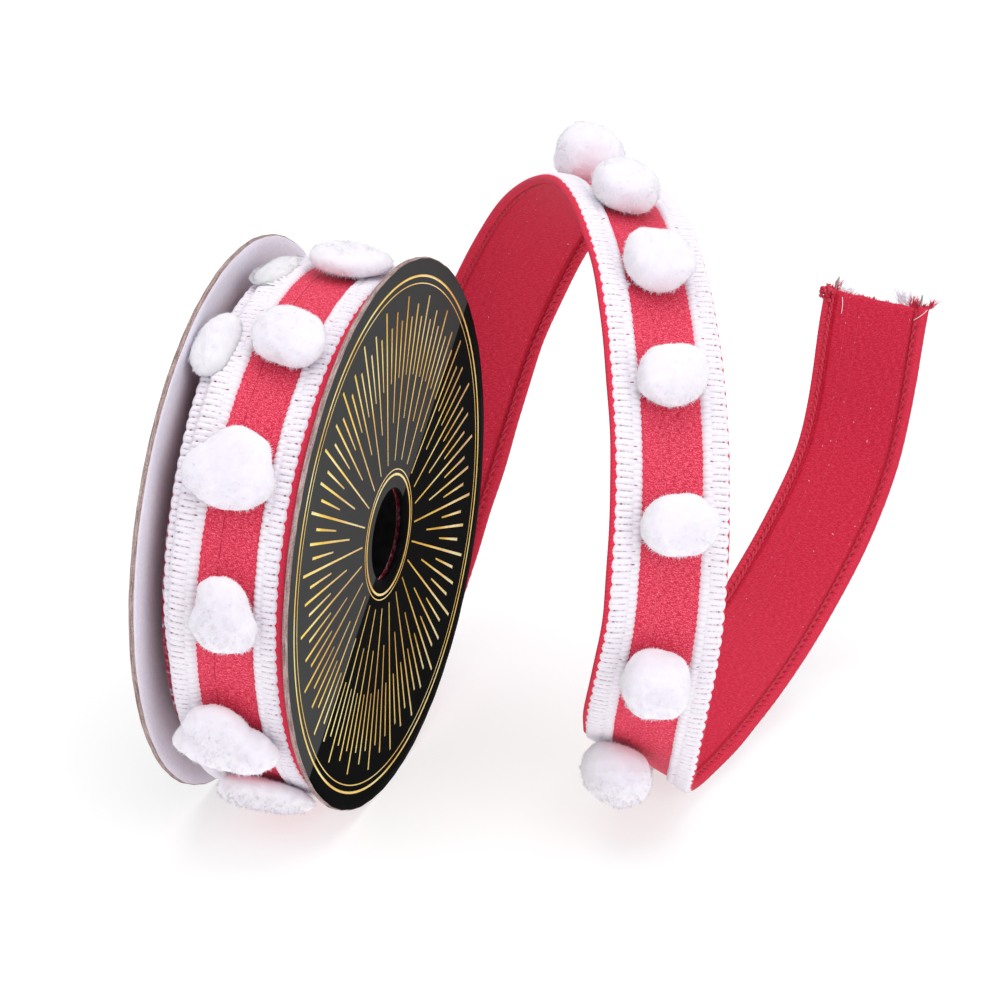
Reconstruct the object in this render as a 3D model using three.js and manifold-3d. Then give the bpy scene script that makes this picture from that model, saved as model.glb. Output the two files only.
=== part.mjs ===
// Roll of wired pompom ribbon: two card flanges, the wound ribbon between them, and a loose end that
// springs off the roll in one open coil and stands on the table beside it.
// Millimetres, +Z up. X runs along the spool's axis, the front flange faces +X and the table is z = 0.
import * as THREE from 'three';
import { mergeVertices } from 'three/addons/utils/BufferGeometryUtils.js';
import Module from 'manifold-3d';

const wasm = await Module();
wasm.setup();

// Spool
const FLANGE_RADIUS = 57;
const FLANGE_THICK = 1.5;
const HOLE_RADIUS = 9.5;
const FOOT_CHORD = 10; // flat spot where each flange stands
const SPOOL_WIDTH = 33.9; // outer face to outer face
const AXIS_HEIGHT = Math.sqrt(FLANGE_RADIUS ** 2 - (FOOT_CHORD / 2) ** 2);

// Ribbon and its trim
const CLEAR = 0.3; // space kept between pieces that touch
const RIBBON_WIDTH = 25;
const RIBBON_THICK = 1;
const HEM_WIDTH = 0.9;
const HEM_THICK = 1.6; // rolled over the wire
const BRAID_WIDTH = 5.7;
const BRAID_THICK = 1.2;
const BRAID_OFFSET = 8.4; // middle of each braid from the middle of the trim
const TRIM_SHIFT = 0.2; // the trim is sewn a little off the ribbon's middle
const WIRE_RADIUS = 0.4;
const WIRE_STUB = 2.5;
const WIRE_INSET = 2.3; // from the ribbon's edge

// Wound turns
const ROLL_RADIUS = 55; // outer turn where the loose end leaves it
const TURN_PITCH = 3; // one turn and its flattened pompoms
const ROLL_BORE = 9.8;
const ROLL_MIDDLE = -14.4; // middle of the outer turn, from the front face
const LOWER_TURN_REACH = 4; // the turn below lies this much nearer the back flange
const LEAVE_ANGLE = -66; // degrees about the axis, 0 on the far side and 90 on top

// Pompoms
const POMPOM_PITCH = 27.9;
const POMPOM_SEAT = 0.9; // flat where a pompom is tied down, below its middle, in half heights
const POMPOM_LOCKS = 8;
const LOCK_ROOT = 2.8; // half thickness of a lock where it leaves the ball
const LOCK_TIP = 1.5;
const LOCK_REACH = 1.08; // tip of a lock from the pompom's middle, in half sizes
const LOCK_LENGTH = 0.6; // part of that reach that the lock's own prism fills
const LOCK_LOWEST = 0.08; // rise of the lowest and highest locks, as sines
const LOCK_HIGHEST = 0.95;
const LOCK_CLEAR = 1; // no lock tip comes nearer the table
const UNEVEN = 0.05; // lumps, in half sizes
const FIRST_TAIL_POMPOM = 27.5; // along the loose end, from where it leaves the roll

// Middle line of the loose end from the front face, and the way its width points: yaw turns the right
// edge away from the viewer, dip lowers it.
const TAIL_ROWS = [
  { place: 'clears the rims', x: -14, y: 45, z: 17, yaw: 0, dip: 5 },
  { place: 'far leg, low', x: -13, y: 66, z: 37, yaw: 12, dip: 14 },
  { place: 'far leg, high', x: -6, y: 78, z: 68, yaw: 32, dip: 19 },
  { place: 'far shoulder', x: 8, y: 75, z: 97, yaw: 36, dip: 17 },
  { place: 'top of the coil', x: 28, y: 54, z: 116, yaw: 35, dip: 15 },
  { place: 'near shoulder', x: 48, y: 23, z: 114, yaw: 34, dip: 12 },
  { place: 'near leg, high', x: 62, y: -5, z: 91, yaw: 33, dip: 8 },
  { place: 'near leg, middle', x: 66, y: -19, z: 60, yaw: 29, dip: 7 },
  { place: 'near leg, low', x: 59, y: -12, z: 27, yaw: 9, dip: 14 },
  { place: 'bend over the table', x: 53, y: 8, z: 11, yaw: -4, dip: 24 },
  { place: 'foot of the coil', x: 55, y: 36, z: 9, yaw: -8, dip: 19 },
  { place: 'last leg, low', x: 61, y: 69, z: 18, yaw: -12, dip: 5 },
  { place: 'last leg, high', x: 68.5, y: 93, z: 42, yaw: -15, dip: 1 },
  { place: 'cut end', x: 70.5, y: 107, z: 75, yaw: -12, dip: 0 },
];
const TAIL_STEPS = 108;

// Pompoms of the loose end in order: how far each lies on along the run and across from its even place,
// and its half sizes across, along and out. The coil stands on the low ones.
const TAIL_POMPOM = { on: 0, across: 0, wide: 7.3, long: 7.3, out: 6.5 };
const TAIL_POMPOMS = [
  TAIL_POMPOM,
  TAIL_POMPOM,
  TAIL_POMPOM,
  TAIL_POMPOM,
  { on: 1, across: 0.5, wide: 7.4, long: 7.2, out: 7 },
  { on: 6, across: -2.5, wide: 7.5, long: 7.2, out: 5 },
  { on: 2, across: -1, wide: 7.3, long: 7.2, out: 5.5 },
  { on: -0.5, across: -0.8, wide: 7, long: 6.7, out: 5.5 },
  { on: 0, across: -0.2, wide: 7.3, long: 6.9, out: 6 },
  { on: 1.5, across: -0.4, wide: 7, long: 7.3, out: 7 },
  { on: 4, across: -2.5, wide: 7.6, long: 7.2, out: 7 },
  { on: 0, across: -3.5, wide: 7, long: 7, out: 4.4 },
  { on: 0, across: 0, wide: 7.3, long: 7.3, out: 4.9 },
  TAIL_POMPOM,
  TAIL_POMPOM,
  TAIL_POMPOM,
];
// Pompoms of the outer turn, counted back from where the loose end leaves it. They were wound flat, and
// the ones by the table and under the loose end stay flattest.
const ROLL_POMPOM = { on: 0, across: 0, wide: 8, long: 7.6, out: 4.2 };
const ROLL_POMPOMS = [
  { on: 0, across: 0, wide: 7.3, long: 6.6, out: 2.7 },
  { on: 0, across: 0, wide: 5, long: 6.6, out: 0.8 },
  { on: -4, across: 1.5, wide: 10, long: 8, out: 3.2 },
  { on: -0.5, across: -0.8, wide: 10.3, long: 8.7, out: 4.2 },
  { on: 0, across: 1, wide: 7.3, long: 8.2, out: 3.6 },
  { on: 0, across: -1.6, wide: 9.5, long: 8.2, out: 3.8 },
  { on: 0, across: 2, wide: 7.8, long: 7.2, out: 4.4 },
  { on: -2.5, across: 3.5, wide: 8.2, long: 7.4, out: 3.4 },
  { on: 0, across: -2, wide: 6.5, long: 7, out: 1.4 },
  ROLL_POMPOM,
  ROLL_POMPOM,
  { on: 0, across: 0, wide: 7.3, long: 6.6, out: 3.2 },
];
const LOCKS_FROM = 3.5; // a pompom lower than this, as a half height, has no locks
// Tufts of the turn below that bulge beside the outer turn, by angle about the axis
const LOWER_TUFT = { long: 6.4, out: 3 };
const LOWER_TUFT_ANGLES = [80, 117];

const card = new THREE.MeshStandardMaterial({ color: 0x15161a, roughness: 0.3, metalness: 0 });
const red = new THREE.MeshStandardMaterial({ color: 0xb3202c, roughness: 0.6, metalness: 0 });
const white = new THREE.MeshStandardMaterial({ color: 0xf2f2f4, roughness: 0.9, metalness: 0 });
const steel = new THREE.MeshStandardMaterial({ color: 0x8a8d92, roughness: 0.35, metalness: 1 });

const radians = THREE.MathUtils.degToRad;

function named(name, geometry, material) {
  const mesh = new THREE.Mesh(geometry, material);
  mesh.name = name;
  return mesh;
}

// Closed sweep of one outline of [across, out] points through a run of frames.
function sweep(frames, outlineAt, closed) {
  const first = outlineAt(frames[0]);
  const ring = first.length;
  const positions = [];
  for (const frame of frames) {
    for (const [across, out] of outlineAt(frame)) {
      const point = frame.origin.clone();
      point.addScaledVector(frame.width, across).addScaledVector(frame.normal, out);
      positions.push(point.x, point.y, point.z);
    }
  }
  const index = [];
  const spans = closed ? frames.length : frames.length - 1;
  for (let i = 0; i < spans; i += 1) {
    const here = i * ring;
    const next = ((i + 1) % frames.length) * ring;
    for (let j = 0; j < ring; j += 1) {
      const k = (j + 1) % ring;
      index.push(here + j, here + k, next + k, here + j, next + k, next + j);
    }
  }
  if (!closed) {
    const flat = first.map(([across, out]) => new THREE.Vector2(across, out));
    const last = (frames.length - 1) * ring;
    for (const [a, b, c] of THREE.ShapeUtils.triangulateShape(flat, [])) {
      index.push(a, c, b, last + a, last + b, last + c);
    }
  }
  const geometry = new THREE.BufferGeometry();
  geometry.setAttribute('position', new THREE.Float32BufferAttribute(positions, 3));
  geometry.setIndex(index);
  return outward(geometry);
}

// Turns every face outwards, whichever way the outline was walked.
function outward(geometry) {
  const position = geometry.attributes.position;
  const index = geometry.index.array;
  const [a, b, c] = [new THREE.Vector3(), new THREE.Vector3(), new THREE.Vector3()];
  let volume = 0;
  for (let i = 0; i < index.length; i += 3) {
    a.fromBufferAttribute(position, index[i]);
    b.fromBufferAttribute(position, index[i + 1]);
    c.fromBufferAttribute(position, index[i + 2]);
    volume += a.dot(b.cross(c));
  }
  if (volume < 0) {
    for (let i = 0; i < index.length; i += 3) {
      [index[i + 1], index[i + 2]] = [index[i + 2], index[i + 1]];
    }
  }
  geometry.computeVertexNormals();
  return geometry;
}

function toManifold(geometry) {
  const bare = geometry.clone();
  bare.deleteAttribute('normal');
  bare.deleteAttribute('uv');
  const merged = mergeVertices(bare, 1e-4);
  const vertProperties = new Float32Array(merged.attributes.position.array);
  const triVerts = new Uint32Array(merged.index.array);
  return new wasm.Manifold(new wasm.Mesh({ numProp: 3, vertProperties, triVerts }));
}

function fromManifold(solid) {
  const mesh = solid.getMesh();
  const geometry = new THREE.BufferGeometry();
  geometry.setAttribute('position', new THREE.BufferAttribute(new Float32Array(mesh.vertProperties), 3));
  geometry.setIndex(new THREE.BufferAttribute(new Uint32Array(mesh.triVerts), 1));
  geometry.computeVertexNormals();
  return geometry;
}

// Round card disc with a finger hole and a flat foot, from the given place along the axis.
function flange(name, from) {
  const halfFoot = Math.asin(FOOT_CHORD / 2 / FLANGE_RADIUS);
  const outline = new THREE.Shape();
  outline.absarc(0, 0, FLANGE_RADIUS, -Math.PI / 2 + halfFoot, (3 * Math.PI) / 2 - halfFoot, false);
  outline.closePath();
  const hole = new THREE.Path();
  hole.absarc(0, 0, HOLE_RADIUS, 0, 2 * Math.PI, true);
  outline.holes.push(hole);
  const settings = { depth: FLANGE_THICK, bevelEnabled: false, curveSegments: 64 };
  const geometry = new THREE.ExtrudeGeometry(outline, settings);
  geometry.rotateX(Math.PI / 2);
  geometry.rotateZ(Math.PI / 2);
  geometry.translate(from, 0, AXIS_HEIGHT);
  return named(name, geometry, card);
}

// Radius of the outer turn, which winds inwards going back from where the loose end leaves it.
function turnRadius(angle) {
  const back = THREE.MathUtils.euclideanModulo(LEAVE_ANGLE - angle, 360);
  return ROLL_RADIUS - (TURN_PITCH * back) / 360;
}

function rollFrame(angle) {
  const turn = radians(angle);
  const normal = new THREE.Vector3(0, Math.cos(turn), Math.sin(turn));
  const tangent = new THREE.Vector3(0, -Math.sin(turn), Math.cos(turn));
  const radius = turnRadius(angle);
  const origin = new THREE.Vector3(ROLL_MIDDLE, 0, AXIS_HEIGHT).addScaledVector(normal, radius);
  return { origin, normal, tangent, width: new THREE.Vector3(1, 0, 0), radius };
}

function braidMiddle(side) {
  return TRIM_SHIFT + side * BRAID_OFFSET;
}

// Section of the wound turns: the outer turn with its two raised braids, and the turn below beside it.
function rollOutline(frame) {
  const bore = ROLL_BORE - frame.radius;
  const half = RIBBON_WIDTH / 2;
  const points = [[-half - LOWER_TURN_REACH, bore]];
  points.push([-half - LOWER_TURN_REACH, -TURN_PITCH - RIBBON_THICK], [-half, -TURN_PITCH], [-half, 0]);
  for (const side of [-1, 1]) {
    const middle = braidMiddle(side);
    points.push([middle - BRAID_WIDTH / 2, 0], [middle - BRAID_WIDTH / 3, BRAID_THICK]);
    points.push([middle + BRAID_WIDTH / 3, BRAID_THICK], [middle + BRAID_WIDTH / 2, 0]);
  }
  points.push([half, 0], [half, bore]);
  return points;
}

function woundRoll() {
  const steps = 72;
  const stepAngle = 0.4; // the short rise from the turn below to the outer turn
  const frames = [];
  for (let i = 0; i <= steps; i += 1) {
    frames.push(rollFrame(LEAVE_ANGLE + stepAngle + ((360 - stepAngle) * i) / steps));
  }
  return named('ribbon_roll', sweep(frames, rollOutline, true), red);
}

// Path of the loose end: its length, and the frame at a distance along it.
function tailPath() {
  const start = rollFrame(LEAVE_ANGLE);
  const places = [start.origin.clone().addScaledVector(start.normal, -RIBBON_THICK / 2)];
  const widths = [start.width];
  for (const row of TAIL_ROWS) {
    places.push(new THREE.Vector3(row.x, row.y, row.z));
    const level = Math.cos(radians(row.dip));
    const yaw = radians(row.yaw);
    widths.push(new THREE.Vector3(level * Math.cos(yaw), level * Math.sin(yaw), -Math.sin(radians(row.dip))));
  }
  const path = new THREE.CatmullRomCurve3(places);
  const turning = new THREE.CatmullRomCurve3(widths);
  path.arcLengthDivisions = 1000;
  const length = path.getLength();
  const frame = (run) => {
    const t = path.getUtoTmapping(run / length);
    const tangent = path.getTangent(t);
    const width = turning.getPoint(t);
    width.addScaledVector(tangent, -width.dot(tangent)).normalize();
    const normal = new THREE.Vector3().crossVectors(tangent, width);
    return { origin: path.getPoint(t), width, normal, tangent };
  };
  return { length, frame };
}

// Ribbon section: a thin sheet with a thicker hem rolled over the wire along each edge.
function ribbonOutline() {
  const half = RIBBON_WIDTH / 2;
  const inner = half - HEM_WIDTH;
  const slope = 0.2;
  const sheet = RIBBON_THICK / 2;
  const hem = HEM_THICK / 2;
  const upper = [[half, hem], [inner, hem], [inner - slope, sheet]];
  const mirrored = upper.map(([across, out]) => [-across, out]).reverse();
  const top = [...upper, ...mirrored];
  return [...top, ...top.map(([across, out]) => [across, -out]).reverse()];
}

function braidOutline(side) {
  const middle = braidMiddle(side);
  const base = RIBBON_THICK / 2 + CLEAR;
  const half = BRAID_WIDTH / 2;
  const shoulder = half / 2;
  return [
    [middle - half, base],
    [middle + half, base],
    [middle + half, base + BRAID_THICK / 2],
    [middle + shoulder, base + BRAID_THICK],
    [middle - shoulder, base + BRAID_THICK],
    [middle - half, base + BRAID_THICK / 2],
  ];
}

// Repeatable unevenness between -1 and 1.
function uneven(seed, k) {
  const wave = Math.sin(seed * 12.9898 + k * 78.233) * 43758.5453;
  return 2 * (wave - Math.floor(wave)) - 1;
}

// Place of a pompom's middle on a frame: across, back along the run, and out.
function pompomPlace(frame, across, rise) {
  const place = new THREE.Matrix4().makeBasis(frame.width, frame.tangent.clone().negate(), frame.normal);
  const middle = frame.origin.clone().addScaledVector(frame.width, across);
  return place.setPosition(middle.addScaledVector(frame.normal, rise));
}

// Lowest height of a pompom's middle that clears the ribbon and the inner shoulders of both braids,
// given as [distance from the braid's middle, height] pairs.
function pompomRise(size, across, ribbon, shoulders) {
  let rise = ribbon + CLEAR + POMPOM_SEAT * size.z;
  for (const side of [-1, 1]) {
    for (const [inwards, height] of shoulders) {
      const share = (braidMiddle(side) - side * inwards - across) / size.x;
      if (Math.abs(share) < 1) {
        const depth = Math.min(POMPOM_SEAT, Math.sqrt(1 - share * share));
        rise = Math.max(rise, height + CLEAR + (1 - UNEVEN) * depth * size.z);
      }
    }
  }
  return rise;
}

// Lumpy ball with a flat seat, in half sizes across, along and out. What would sink below the table is
// pressed flat on it.
function pompomBall(place, half, seed) {
  const ball = new THREE.IcosahedronGeometry(1, 1);
  ball.deleteAttribute('normal');
  ball.deleteAttribute('uv');
  const core = mergeVertices(ball, 1e-4);
  const position = core.attributes.position;
  const point = new THREE.Vector3();
  for (let i = 0; i < position.count; i += 1) {
    point.fromBufferAttribute(position, i).multiplyScalar(1 - UNEVEN + UNEVEN * uneven(seed, i));
    point.z = Math.max(point.z, -POMPOM_SEAT);
    point.multiply(half).applyMatrix4(place);
    point.z = Math.max(point.z, 0);
    position.setXYZ(i, point.x, point.y, point.z);
  }
  return toManifold(core);
}

// One lock from inside the ball to its tip.
function pompomLock(place, tip) {
  const reach = tip.length();
  const lock = new THREE.CylinderGeometry(LOCK_TIP, LOCK_ROOT, LOCK_LENGTH * reach, 3);
  lock.translate(0, (1 - LOCK_LENGTH / 2) * reach, 0);
  const aim = new THREE.Quaternion();
  lock.applyQuaternion(aim.setFromUnitVectors(new THREE.Vector3(0, 1, 0), tip.clone().normalize()));
  return toManifold(lock.applyMatrix4(place));
}

// Pompom at a place: the ball with its locks fused in, spread by the golden angle.
function pompom(name, place, half, seed, locks) {
  let solid = pompomBall(place, half, seed);
  const golden = Math.PI * (3 - Math.sqrt(5));
  for (let k = 0; k < locks; k += 1) {
    const rise = THREE.MathUtils.lerp(LOCK_LOWEST, LOCK_HIGHEST, (k + 0.5) / locks);
    const flat = Math.sqrt(1 - rise * rise);
    const turn = golden * k + seed;
    const tip = new THREE.Vector3(flat * Math.cos(turn), flat * Math.sin(turn), rise);
    tip.multiplyScalar(LOCK_REACH + UNEVEN * uneven(seed, 100 + k)).multiply(half);
    if (tip.clone().applyMatrix4(place).z > LOCK_CLEAR) {
      solid = solid.add(pompomLock(place, tip));
    }
  }
  return named(name, fromManifold(solid), white);
}

function numbered(name, number) {
  return `${name}_${String(number).padStart(2, '0')}`;
}

function tailPompoms(path) {
  const group = new THREE.Group();
  const ribbon = RIBBON_THICK / 2;
  const base = ribbon + CLEAR;
  const shoulders = [[BRAID_WIDTH / 2, base + BRAID_THICK / 2], [BRAID_WIDTH / 4, base + BRAID_THICK]];
  TAIL_POMPOMS.forEach((row, k) => {
    const frame = path.frame(FIRST_TAIL_POMPOM + k * POMPOM_PITCH + row.on);
    const half = new THREE.Vector3(row.wide, row.long, row.out);
    const across = TRIM_SHIFT + row.across;
    const place = pompomPlace(frame, across, pompomRise(half, across, ribbon, shoulders));
    const locks = row.out < LOCKS_FROM ? 0 : POMPOM_LOCKS;
    group.add(pompom(numbered('tail_pompom', k + 1), place, half, k + 1, locks));
  });
  return group;
}

function rollPompoms() {
  const group = new THREE.Group();
  const shoulders = [[BRAID_WIDTH / 2, 0], [BRAID_WIDTH / 3, BRAID_THICK]];
  ROLL_POMPOMS.forEach((row, k) => {
    const back = (k * POMPOM_PITCH - row.on) / (ROLL_RADIUS - TURN_PITCH / 2);
    const frame = rollFrame(LEAVE_ANGLE - 1 - back * THREE.MathUtils.RAD2DEG);
    const half = new THREE.Vector3(row.wide, row.long, row.out);
    const across = TRIM_SHIFT + row.across;
    const place = pompomPlace(frame, across, pompomRise(half, across, 0, shoulders));
    const locks = row.out < LOCKS_FROM ? 0 : POMPOM_LOCKS;
    group.add(pompom(numbered('roll_pompom', k + 1), place, half, 40 + k, locks));
  });
  return group;
}

// Tufts of the turn below, squeezed between the outer turn's edge and the back flange.
function lowerTufts() {
  const group = new THREE.Group();
  LOWER_TUFT_ANGLES.forEach((angle, k) => {
    const edge = -RIBBON_WIDTH / 2 - CLEAR;
    const wall = -SPOOL_WIDTH + FLANGE_THICK + CLEAR - ROLL_MIDDLE;
    const half = new THREE.Vector3((edge - wall) / 2, LOWER_TUFT.long, LOWER_TUFT.out);
    const rise = -TURN_PITCH + CLEAR + POMPOM_SEAT * half.z;
    const place = pompomPlace(rollFrame(angle), (edge + wall) / 2, rise);
    group.add(pompom(numbered('lower_tuft', k + 1), place, half, 70 + k, 0));
  });
  return group;
}

// Ends of the two hem wires, standing out of the cut.
function wireEnds(end) {
  const group = new THREE.Group();
  const across = RIBBON_WIDTH / 2 - WIRE_INSET;
  for (const [side, sign] of [['left', -1], ['right', 1]]) {
    const stub = new THREE.CylinderGeometry(WIRE_RADIUS, WIRE_RADIUS, WIRE_STUB, 8);
    const aim = new THREE.Quaternion().setFromUnitVectors(new THREE.Vector3(0, 1, 0), end.tangent);
    stub.applyQuaternion(aim);
    const middle = end.origin.clone().addScaledVector(end.width, sign * across);
    middle.addScaledVector(end.tangent, CLEAR + WIRE_STUB / 2);
    stub.translate(middle.x, middle.y, middle.z);
    group.add(named(`wire_end_${side}`, stub, steel));
  }
  return group;
}

function looseEnd() {
  const group = new THREE.Group();
  const path = tailPath();
  const start = 2 * CLEAR;
  const frames = [];
  for (let i = 0; i <= TAIL_STEPS; i += 1) {
    frames.push(path.frame(start + ((path.length - start) * i) / TAIL_STEPS));
  }
  group.add(named('tail_ribbon', sweep(frames, ribbonOutline, false), red));
  group.add(named('tail_braid_left', sweep(frames, () => braidOutline(-1), false), white));
  group.add(named('tail_braid_right', sweep(frames, () => braidOutline(1), false), white));
  group.add(tailPompoms(path), wireEnds(path.frame(path.length)));
  return group;
}

const part = new THREE.Group();
part.add(flange('flange_front', -FLANGE_THICK));
part.add(flange('flange_back', -SPOOL_WIDTH));
part.add(woundRoll());
part.add(rollPompoms(), lowerTufts(), looseEnd());
// The origin is the middle of the front flange's foot.
part.position.x = FLANGE_THICK / 2;

export default part;
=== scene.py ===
import math
from types import SimpleNamespace

import bmesh
import bpy
import numpy as np
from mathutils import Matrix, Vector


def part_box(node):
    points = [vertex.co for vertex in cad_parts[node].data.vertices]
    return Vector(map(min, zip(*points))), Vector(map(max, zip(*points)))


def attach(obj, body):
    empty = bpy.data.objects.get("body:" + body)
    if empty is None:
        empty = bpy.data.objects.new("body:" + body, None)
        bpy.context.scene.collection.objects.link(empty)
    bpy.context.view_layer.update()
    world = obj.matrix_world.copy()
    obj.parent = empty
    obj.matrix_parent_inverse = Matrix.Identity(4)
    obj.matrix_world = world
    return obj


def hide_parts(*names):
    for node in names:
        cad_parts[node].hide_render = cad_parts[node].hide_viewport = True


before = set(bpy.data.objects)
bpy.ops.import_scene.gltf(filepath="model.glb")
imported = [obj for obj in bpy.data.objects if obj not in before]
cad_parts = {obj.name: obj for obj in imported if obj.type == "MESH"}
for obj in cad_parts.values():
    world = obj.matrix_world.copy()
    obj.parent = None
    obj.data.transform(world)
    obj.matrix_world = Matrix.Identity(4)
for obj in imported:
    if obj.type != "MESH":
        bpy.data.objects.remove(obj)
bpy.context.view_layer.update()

# A roll of wired pompom ribbon. Places are worked out in millimetres in the part's frame and written to
# Blender in metres. A place on the ribbon is its run, its distance across and its height out: the run
# goes along the middle line from where the loose end leaves the roll, and is negative on the wound turns.
MM = 0.001


def box_mm(node):
    low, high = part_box(node)
    return np.array(low) / MM, np.array(high) / MM


# Spool
front_low, front_high = box_mm("flange_front")
FRONT_FACE = front_high[0]
BACK_FACE = box_mm("flange_back")[0][0]
FLANGE_THICK = front_high[0] - front_low[0]
FLANGE_RADIUS = (front_high[1] - front_low[1]) / 2
AXIS_HEIGHT = front_high[2] - FLANGE_RADIUS
HOLE_RADIUS = 9.5
CARD_THICK = 1.1
CARD_ROUND = 0.2
SHEEN_DROP = 1.4  # the border of the painted sheen on the black print crosses this far under the axis
SHEEN_SLOPE = 0.7  # and rises by this much a millimetre away from the viewer
SPOOL_SEGMENTS = 288

# Wound turns
ROLL_RADIUS = 55
TURN_PITCH = 3
ROLL_BORE = 9.8
ROLL_MIDDLE = FRONT_FACE - 14.4
ROLL_LEFT = 15.6  # reach of the lower turns towards the back flange, from the roll's middle
ROLL_RIGHT = 12.5
LEAVE_ANGLE = -66  # degrees about the axis, 0 on the far side and 90 on top
WOUND_TURNS = 2
LOWER_TURN_LIFT = 1.1  # the second turn presses up against the outer one
LOWER_TURN_SHIFT = 2.1  # and strays this much nearer the back flange from one place on, in turns back
SHIFT_PLACE = 1.3
LOWER_TURN_STRAY = 0.9  # and further at another
STRAY_PLACE = 1.5

# Ribbon and its trim
RIBBON_WIDTH = 25
RIBBON_SPACE = 1  # thickness that a turn takes on the roll
SHEET_HALF = 0.28
BRAID_HEIGHT = 1.25
LEFT, RIGHT = -1, 1  # signs of the distance across
OUTER, INNER = 1, -1  # signs of the height out
BRAID_EDGES = {  # inner edge, outer edge and scallop depth, on the roll and then on the loose end
    LEFT: ((6.5, 12.4, 0.5), (6.2, 11.4, 0.5)),
    RIGHT: ((6.1, 10.7, 0.46), (6.7, 11.6, 0.5)),
}
BRAID_WANDER = 0.8  # the left braid lies this much further in on the far half of the roll
TRIM_SHIFT = 0.2
RIDGE_PITCH = 1.3  # one wrap of the braid's yarn
SCALLOP_PITCH = 2.6  # two wraps make one scallop of its outer edge
SEAM_PITCH = 5.4  # stitches of the seam along the field
SEAM_ACROSS = -2.5
CHAIN_LEFT = 10.4  # chain stitches along both hems on the inner face
CHAIN_RIGHT = 10.0
# Places across of the painted shade in the grooves beside the hems on the inner face
INNER_GROOVE_SHADES = (-9.5, 9.1)
INNER_SEAMS = (-6.8, -3.9, 7.9)
WIRE_RADIUS = 0.22
WIRE_INSET = 2.3
WIRE_STUB = 2.2

# Tufts of loose thread at the cut: middle across and spread, count, shortest and longest, and lean
RED_TUFTS = [
    (-12, 0.5, 25, 0.2, 0.7, 0.0),
    (-10.3, 0.2, 18, 1.2, 2.4, 0.0),
    (8.4, 0.4, 40, 1.2, 3.0, 0.05),
    (10.2, 0.5, 30, 0.8, 1.8, 0.1),
    (12, 0.4, 35, 0.8, 1.9, 0.35),
]
WHITE_WISPS = [
    (-8.2, 1.1, 60, 0.6, 1.6, 0.35),
    (5.6, 0.3, 22, 2.0, 3.6, -0.4),
    (7.2, 0.3, 26, 2.2, 4.2, -0.4),
]

# Pompoms: how far each lies on along the run and across from its even place, and its half sizes across,
# along and out. The outer turn's are counted back from where the loose end leaves.
POMPOM_PITCH = 27.9
FIRST_TAIL_POMPOM = 27.5
POMPOM_BASE = 0.8  # height of the seat above the ribbon's middle surface
POMPOM_SEAT = 0.9  # depth of the seat below the pompom's middle, in half heights
FIBRE = 0.8  # usual length of the fibres that coat a pompom
FIBRES = 1800
TOP_PRESS = 0.4  # share by which the fibres on top of a pompom are pressed down
TAIL_POMPOM = (0, 0, 7.3, 7.3, 6.5)
TAIL_POMPOMS = [
    *[TAIL_POMPOM] * 4,
    (1, 0.5, 7.4, 7.2, 7),
    (6, -2.5, 7.5, 7.2, 5),
    (2, -1, 7.3, 7.2, 5.5),
    (-0.5, -1, 7.6, 6.2, 5.5),
    (0, -0.2, 7.3, 6.9, 6),
    (1.5, -0.4, 7, 7.3, 7),
    (4, -2.5, 7.6, 6.8, 6.1),
    (0, -4.2, 6, 7, 4.4),
    (0, 0, 7.3, 7.3, 4.9),
    *[TAIL_POMPOM] * 3,
]
ROLL_POMPOM = (0, 0, 8, 7.6, 4.2)
ROLL_POMPOMS = [
    (0, 0, 7.3, 6.6, 2.7),
    (0, 0, 5, 6.6, 0.8),
    (-4, 1.5, 10, 8, 3.2),
    (-0.5, -0.8, 10.3, 8.7, 4.2),
    (0, 1, 7.3, 8.2, 3.6),
    (0, -1.6, 9.5, 8.2, 3.8),
    (0, 2, 7.8, 7.2, 4.4),
    (-2.5, 3.5, 8.2, 7.4, 3.4),
    (0, -2, 6.5, 7, 1.4),
    *[ROLL_POMPOM] * 2,
    (0, 0, 7.3, 6.6, 3.2),
]
# Lumps of the roll's pompoms that were wound crooked: middle across and along, and half sizes across and
# along, in the pompom's own half sizes
ROLL_LUMPS = {
    3: [
        (-0.16, -0.08, 0.64, 0.92),
        (0.52, 0.36, 0.5, 0.58),
        (-0.55, 0.3, 0.5, 0.42),
        (0.1, 0.42, 0.66, 0.56),
    ],
    4: [(-0.1, -0.35, 0.7, 0.66), (0.0, 0.3, 1.0, 0.7)],
    5: [
        (0.12, -0.12, 0.76, 0.9),
        (0.3, 0.35, 0.66, 0.64),
        (-0.45, 0.18, 0.56, 0.55),
        (-0.15, 0.35, 0.6, 0.62),
    ],
    6: [(-0.1, -0.05, 0.9, 0.95), (0.4, 0.2, 0.62, 0.78)],
}
# Tufts of the turn below: angle about the axis, middle from the roll's middle, half sizes and seat height
TUFTS = [
    (84, -11.0, 4.8, 10.6, 3.4, -4.5),
    (115.5, -13.4, 4.6, 8.2, 3.6, -2.9),
]
TUFT_LUMPS = [(0.05, -0.28, 0.95, 0.74), (-0.03, 0.26, 1.0, 0.76)]

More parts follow.
